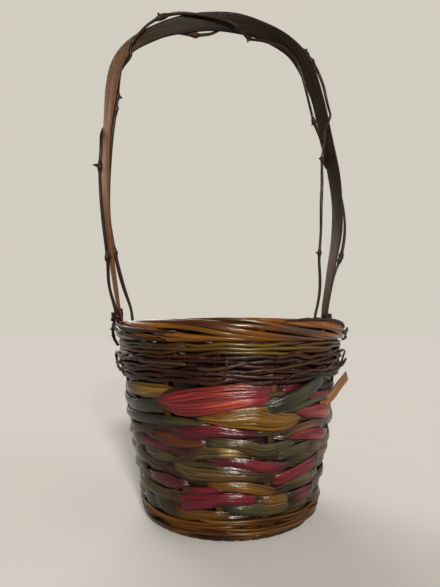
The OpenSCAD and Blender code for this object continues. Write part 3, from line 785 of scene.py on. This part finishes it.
def make_foot():
    """Close rows of reed round the bend, and the row that the basket stands on."""
    for row in range(1, 5):
        rng = default_rng(460 + row)
        radius, z, d = ring_of(f"foot_reed_{row}")
        s = place_of(radius, z)
        strands = Strands()
        for lift in (0.8, -0.8) if row > 1 else (4.4, 2.6, 0.8, -0.8):
            place = past_stakes(mostly_out(rng, 3)) + 0.15 * wander(TURN, rng, 4, 14)
            along = s + lift + 0.4 * wander(TURN, rng, 4, 12)
            shades = streaked(("foot", "foot_dark"), rng)
            reed(strands, along, place * (STAKE_HALF + d / 2), REED_HALF, shades, rng)
        finish_row(strands, "foot", "foot_reed", "foot_reed", row)
    rng = default_rng(470)
    lo, hi = span("foot_reed_5")
    strand_r = 0.8
    middle, radius = hi[2] / 2, hi[0] - hi[2] / 2
    strands = Strands()
    for side in (0, 180):
        turn = np.radians(TURN * 21 + side)
        line = around(radius + strand_r * np.cos(turn), TURN, middle + (middle - strand_r) * np.sin(turn))
        strands.add(line, around(np.cos(turn), TURN, np.sin(turn)), 1.05, strand_r,
                    streaked(("foot", "foot_dark"), rng), side + 3, sides=8, square=0.95, closed=True)
    strands.piece("foot_5", "foot_reed", "foot_reed_5")


def make_base():
    """Twined rings of reed that hold the stakes together under the bowl."""
    rng = default_rng(480)
    first, pitch = 21, 3
    strands = Strands()
    for ring, radius in enumerate(np.arange(first, span("base_reeds_lower")[1][0], pitch)):
        s = np.interp(radius, PROFILE[:BASE_POINTS, 0], ARC[:BASE_POINTS])
        signs = EVERY_OTHER if ring % 2 else EVERY_OTHER[::-1]
        pair(strands, s, STAKE_HALF + REED_HALF, 1.2, ("foot", "foot_dark"), rng, signs, sway=0.15,
             twist=0.5)
    strands.piece("base_weave", "foot_reed", "base_reeds_lower", "base_reeds_upper")


# ---- rim ----

# Strands in the rim, how often each winds round their core, so that one ends where another starts, and
# half its width and thickness.
RIM_STRANDS = 11
RIM_TURNS = -21 / RIM_STRANDS
RIM_HALF_W = 1.68
RIM_HALF_T = 1.35
# The rim rises a little over the middle of the front.
ARCH = 2.6
ARCH_WIDTH = 48


def make_rim():
    """Reeds rolled round the stakes' ends, which slope down to the right outside."""
    top, bottom = BOWL_H, span("rim_strand_lower")[0][2]
    middle = (top + bottom) / 2
    core = side_at(middle)[0]
    reach_z = (top - bottom) / 2 - RIM_HALF_T
    reach_r = span("rim_strand_lower")[1][0] - core - RIM_HALF_T
    angles = np.arange(180, 541.2, 1.2)
    arch = ARCH * np.exp(-(half_turn(angles - 360 - FRONT) / ARCH_WIDTH) ** 2)
    nodes = ["rim_strand_upper", "rim_strand_lower", "rim_strands_inner", "rim_top_front", "rim_top_back"]
    for m, node in enumerate(nodes):
        strands = Strands()
        for k in range(m, RIM_STRANDS, len(nodes)):
            rng = default_rng(500 + k)
            turn = np.radians(360 * k / RIM_STRANDS + RIM_TURNS * angles + 9 * wander(angles, rng, 3, 9))
            swell = 1 + 0.07 * wander(angles, rng, 4, 12)
            rise = arch * (0.5 + 0.5 * np.sin(turn))
            radius = core + reach_r * swell * np.cos(turn)
            line = around(radius, angles, middle + reach_z * np.sin(turn) + rise)
            out = around(np.cos(turn) / reach_r, angles, np.sin(turn) / reach_z)
            mix = np.clip(rng.uniform(0, 0.7) + 0.5 * wander(angles, rng, 3, 12), 0, 1)[:, None]
            shades = toned(dye("rim"), rng) * (1 - mix) + dye("rim_dark") * mix
            strands.add(line, unit(out), RIM_HALF_W * swell, RIM_HALF_T, shades, k * 7, square=0.8)
        strands.piece(f"rim_{m + 1}", "rim_reed", node)


# ---- handle ----

# The middle of the splint as x and height above the rim, for a rim of radius HOOP_R and a height of
# HOOP_H, and its turn at each point: 0 has the flat side facing the bowl's axis.
HOOP_R = 81
HOOP_H = 236
HOOP = [(-83, 6), (-86.5, 26), (-91, 58), (-94, 94), (-93, 140), (-86, 185), (-62, 209.5), (-28, 225.5),
        (5, 232), (37, 228.5), (61, 216), (76, 190), (86, 154), (95, 112), (96, 76), (90, 44), (85, 20),
        (82.5, 5)]
SPLINT_TURN = [0, 0, 0, 4, 8, 10, 12, 20, 40, 68, 92, 118, 136, 152, 164, 170, 173, 176, 179]
SPLINT_TURN += [180] * 5
SPLINT_HALF_W = 7.0
SPLINT_HALF_T = 1.0
FOOT_HALF_W = 3.5
FOOT_HALF_T = 0.45
# Steps from either end between which the splint grows to its full size.
GROW_START = 2.4
GROW_END = 6
HANDLE_VINE_R = 1.4
HANDLE_VINE_GAP = 0.1
BACKWARD = np.array([0, 1, 0])

# Each vine's way round the splint: steps along it, angle round it and how far off. Angle 0 is outside
# the hoop, 90 behind it, 180 inside it and 270 in front.
VINE_1 = [
    (2.5, 0, 0.2), (3.2, 0, 0.3), (4, 0, 2), (4.6, -5, 0.4), (5.2, -5, 0.6), (5.8, 0, 0.9), (6.25, 0, 1.4),
    (6.6, 20, 0.6), (7.1, 100, 0.2), (7.7, 160, 0.4), (8.2, 230, 0.2), (8.6, 310, 0.8), (9, 350, 2.4),
    (9.5, 358, 2.2), (10, 330, 0.8), (10.5, 280, 0.2), (10.9, 225, 0.8), (11.3, 185, 6.6), (11.8, 180, 4.2),
    (12.4, 168, 0.3), (13.1, 176, 1.6), (13.7, 180, 4.6), (14.2, 180, 6.4), (14.7, 180, 6.2),
    (15.1, 175, 2.6), (15.5, 110, 0.2), (15.9, 40, 0.4), (16.3, 8, 2.8), (16.8, 0, 4.8), (17.3, 0, 5.2),
    (17.7, 0, 4.4), (18.2, 0, 1.6), (18.8, 0, 0.4), (19.8, 0, 0.3), (20.6, 0, 0.2)]
VINE_2 = [
    (1, 180, 4.6), (2, 180, 4.6), (2.6, 180, 6), (3.2, 180, 6), (3.9, 178, 3.4), (4.6, 165, 1),
    (5.3, 120, 0.2), (6, 140, 0.3), (6.7, 178, 1), (7.4, 180, 2), (8, 160, 0.4), (8.7, 95, 0.3),
    (9.4, 140, 0.4), (10, 178, 1.2), (10.6, 140, 0.3), (11.2, 60, 0.4), (11.7, 5, 1.6), (12.2, -20, 0.6),
    (12.6, -25, 0.3), (13, -5, 4), (13.4, 0, 6.6), (13.9, -5, 6.6), (14.4, -20, 4.2), (14.9, -110, 0.8),
    (15.4, -175, 5.5), (15.9, -180, 10), (16.5, -180, 13), (17.2, -180, 12.6), (17.8, -180, 10.6),
    (18.4, -180, 6.6), (18.9, -180, 4.8), (19.4, -180, 5), (20, -180, 6), (20.7, -180, 6),
    (21.3, -180, 4.6), (22, -180, 4.6)]


def splint_keys():
    """The splint's whole middle line: a foot down in the rim, the hoop, and the other foot."""
    lo, hi = span("handle_splint")
    depths = [BOWL_H - lo[2], 18, 7]
    feet = [(side_at(BOWL_H - d)[0], BOWL_H - d) for d in depths]
    rim_r = side_at(BOWL_H)[0]
    crown = hi[2] - SPLINT_HALF_T - BOWL_H
    hoop = [(x * rim_r / HOOP_R, BOWL_H + h * crown / HOOP_H) for x, h in HOOP]
    return [(-r, z) for r, z in feet] + hoop + feet[::-1]


SPLINT = splint_keys()
LAST = len(SPLINT) - 1


def splint_at(u):
    """Middle, outward normal and half sizes of the splint at u steps along it."""
    xz = smooth(SPLINT, u)
    ahead = unit(smooth(SPLINT, np.minimum(u + 0.2, LAST)) - smooth(SPLINT, np.maximum(u - 0.2, 0)))
    middle = np.stack([xz[:, 0], 0 * u, xz[:, 1]], 1)
    normal = np.stack([-ahead[:, 1], 0 * u, ahead[:, 0]], 1)
    full = np.clip((np.minimum(u, LAST - u) - GROW_START) / (GROW_END - GROW_START), 0, 1)
    half_w = FOOT_HALF_W + (SPLINT_HALF_W - FOOT_HALF_W) * full
    half_t = FOOT_HALF_T + (SPLINT_HALF_T - FOOT_HALF_T) * full
    return middle, normal, half_w, half_t


def make_splint():
    """The handle's broad splint, reddish on the left, dark over the crown and on the right."""
    rng = default_rng(600)
    u = np.arange(0, LAST + 0.01, 0.06)
    middle, normal, half_w, half_t = splint_at(u)
    turn = np.radians(smooth(SPLINT_TURN, u))
    face = -np.sin(turn) * BACKWARD + np.cos(turn) * normal
    dark = np.clip((u - 6.2) / 3 + 0.15 * wander(u * 15, rng), 0, 1)[:, None]
    dark = dark * (1 - 0.35 * np.clip((u - 16) / 3, 0, 1))[:, None]
    crown = 1 - 0.5 * np.exp(-((u - 11) / 2) ** 4)[:, None]
    shades = (dye("splint_red") * (1 - dark) + dye("splint_dark") * dark) * crown
    width = half_w * (1 + 0.05 * wander(u * 15, rng, 4, 22))
    strands = Strands()
    strands.add(middle, face, width, half_t, shades, 1, sides=20, square=0.5)
    strands.piece("handle_ribbon", "handle_splint", "handle_splint")


def vine_line(route, u_steps):
    """Points along a vine, and the way from the splint out to each."""
    keys = smooth(route, u_steps)
    u, q = keys[:, 0], np.radians(keys[:, 1])
    middle, normal, half_w, half_t = splint_at(u)
    f = q - np.radians(90 - smooth(SPLINT_TURN, u)[:, 0])
    clear = HANDLE_VINE_R + HANDLE_VINE_GAP
    off = 1 / np.hypot(np.cos(f) / (half_w + clear), np.sin(f) / (half_t + clear))
    off = off + np.maximum(keys[:, 2], 0)
    out = np.cos(q)[:, None] * normal + np.sin(q)[:, None] * BACKWARD
    line = middle + off[:, None] * out
    for _ in range(6):
        line[1:-1] = (line[:-2] + 2 * line[1:-1] + line[2:]) / 4
    return line, out, u


def thorn(strands, base, direction, length, half, seed):
    """A short curved thorn or bud."""
    t = np.linspace(0, 1, 7)[:, None]
    lean = unit(np.cross(direction, [0.3, 0.5, 0.8]))
    line = base + direction * length * t + lean * length * 0.25 * t * t
    size = half * (1 - t[:, 0]) ** 0.8 + 0.12
    strands.add(line, lean, size, size, dye("thorn"), seed, sides=8, square=1)


# Steps along the splint at which each vine has a thorn, and the thorn's length as a multiple of
# THORN_SCALE.
THORNS = {
    1: [(4.6, 3), (6.3, 6), (8.5, 4), (9.3, 5), (9.4, 4), (11.35, 5), (14.7, 4), (17.6, 4), (17.75, 5)],
    2: [(4.7, 4), (7.4, 5), (7.2, 3), (9.9, 3), (13, 5), (13.1, 4), (13.3, 3), (15.45, 4), (17.7, 4)]}
THORN_SCALE = 0.85
THORN_HALF = 1.8


def make_handle_vines():
    """Two thorny vines wound loosely round the splint."""
    for number, route in ((1, VINE_1), (2, VINE_2)):
        rng = default_rng(620 + number)
        steps = np.arange(0, len(route) - 0.99, 0.08)
        line, out, u = vine_line(route, steps)
        size = HANDLE_VINE_R * (0.86 + 0.1 * wander(u * 15, rng, 5, 25))
        strands = Strands()
        for at, length in THORNS[number]:
            size = size * (1 + 0.8 * np.exp(-((u - at) / 0.06) ** 2))
            k = int(np.argmin(np.abs(u - at)))
            lean = unit(out[k] + rng.normal(0, 0.35, 3))
            thorn(strands, line[k], lean, length * THORN_SCALE, THORN_HALF, at)
        shades = toned(dye("bark_pale"), rng) * (1 + 0.25 * wander(u * 15, rng, 4, 20))[:, None]
        strands.add(line, out, size, size, shades, number, square=1)
        strands.piece(f"thorny_vine_{number}", "handle_vine", f"handle_vine_{number}")


def make_lashings():
    """A thin vine bound tightly round each foot of the handle."""
    for side, name in ((-1, "left"), (1, "right")):
        lo, hi = span(f"lashing_{name}")
        rng = default_rng(640 + side)
        t = np.linspace(0, 1, 120)
        turn = np.radians(1260 * t)
        middle, half = (lo + hi) / 2, (hi - lo) / 2 - 1
        snug = 0.62 + 0.05 * wander(t * 360, rng, 2, 7)
        line = np.stack([middle[0] + side * half[0] * snug * np.cos(turn),
                         half[1] * snug * np.sin(turn),
                         lo[2] + half[2] * (1.5 * t + 0.12 * np.sin(turn + 1))], 1)
        out = np.stack([side * np.cos(turn), np.sin(turn), 0 * t], 1)
        strands = Strands()
        strands.add(line, out, 0.95 + 0.08 * wander(t * 360, rng), 0.9, toned(dye("bark"), rng), side + 4,
                    sides=8, square=1)
        strands.piece(f"lashing_vine_{name}", "handle_vine", f"lashing_{name}")


# ---- stage ----

CAMERA_AWAY = 368
CAMERA_PITCH = 3.35
LENS = 29.44
SHIFT_X = -0.017


def make_camera():
    camera = placed("camera", bpy.data.cameras.new("camera"))
    camera.location = around(CAMERA_AWAY, FRONT, BOWL_H) * MM
    camera.rotation_euler = (math.radians(90 + CAMERA_PITCH), 0, math.radians(FRONT))
    camera.data.lens = LENS
    camera.data.shift_x = SHIFT_X
    camera.data.clip_start = 0.01
    bpy.context.scene.camera = camera


def make_light(name, angle, elevation, power, colour, spread):
    """A soft distant light, angle degrees from the middle of the front."""
    data = bpy.data.lights.new(name, "SUN")
    data.energy = power
    data.color = colour
    data.angle = math.radians(spread)
    made = placed(name, data)
    made.location = around(400, angle + FRONT, 700) * MM
    made.rotation_euler = (math.radians(90 - elevation), 0, math.radians(angle + FRONT))


def make_floor():
    """A wide, plain, pale disc, with a faint unevenness of tone."""
    sides, radius = 64, 4.0
    turns = [2 * math.pi * k / sides for k in range(sides)]
    mesh = bpy.data.meshes.new("floor")
    mesh.from_pydata([(radius * math.cos(a), radius * math.sin(a), 0) for a in turns], [], [range(sides)])
    material = bpy.data.materials.new("floor_paint")
    material.use_nodes = True
    tree = material.node_tree
    place = add(tree, "ShaderNodeTexCoord", {}).outputs["Object"]
    cloud = add(tree, "ShaderNodeTexNoise", {"Vector": place, "Scale": 6.0, "Detail": 4.0}).outputs["Fac"]
    colour = mixed(tree, cloud, (*linear((0.727, 0.720, 0.708)), 1), (*linear((0.742, 0.735, 0.723)), 1))
    matt = {"Roughness": 0.9, "Specular IOR Level": 0}
    feed(tree, tree.nodes["Principled BSDF"], {"Base Color": colour, **matt})
    mesh.materials.append(material)
    floor = placed("floor", mesh)


# Strength of the pale backdrop, and of the soft light that it sheds on the basket.
SEEN_LIGHT = 0.82
SOFT_LIGHT = 0.32


def make_world():
    world = bpy.data.worlds.new("world")
    bpy.context.scene.world = world
    world.use_nodes = True
    tree = world.node_tree
    colour = (*linear((0.90, 0.879, 0.828)), 1)
    seen = add(tree, "ShaderNodeBackground", {"Color": colour, "Strength": SEEN_LIGHT}).outputs[0]
    soft = add(tree, "ShaderNodeBackground", {"Color": colour, "Strength": SOFT_LIGHT}).outputs[0]
    camera = add(tree, "ShaderNodeLightPath", {}).outputs["Is Camera Ray"]
    both = add(tree, "ShaderNodeMixShader", {0: camera, 1: soft, 2: seen}).outputs[0]
    feed(tree, tree.nodes["World Output"], {"Surface": both})


def make_stage():
    make_camera()
    make_floor()
    make_world()
    make_light("key", 13, 25, 4.6, (1.0, 0.94, 0.86), 8)
    make_light("fill", 78, 14, 0.8, (0.95, 0.97, 1.0), 50)
    make_light("back", 205, 36, 2.1, (1.0, 0.97, 0.93), 50)
    bpy.context.scene.view_settings.view_transform = "Standard"


make_stage()
make_weave()
make_stakes()
make_vines()
make_tangle()
make_trim()
make_foot()
make_base()
make_rim()
make_splint()
make_handle_vines()
make_lashings()
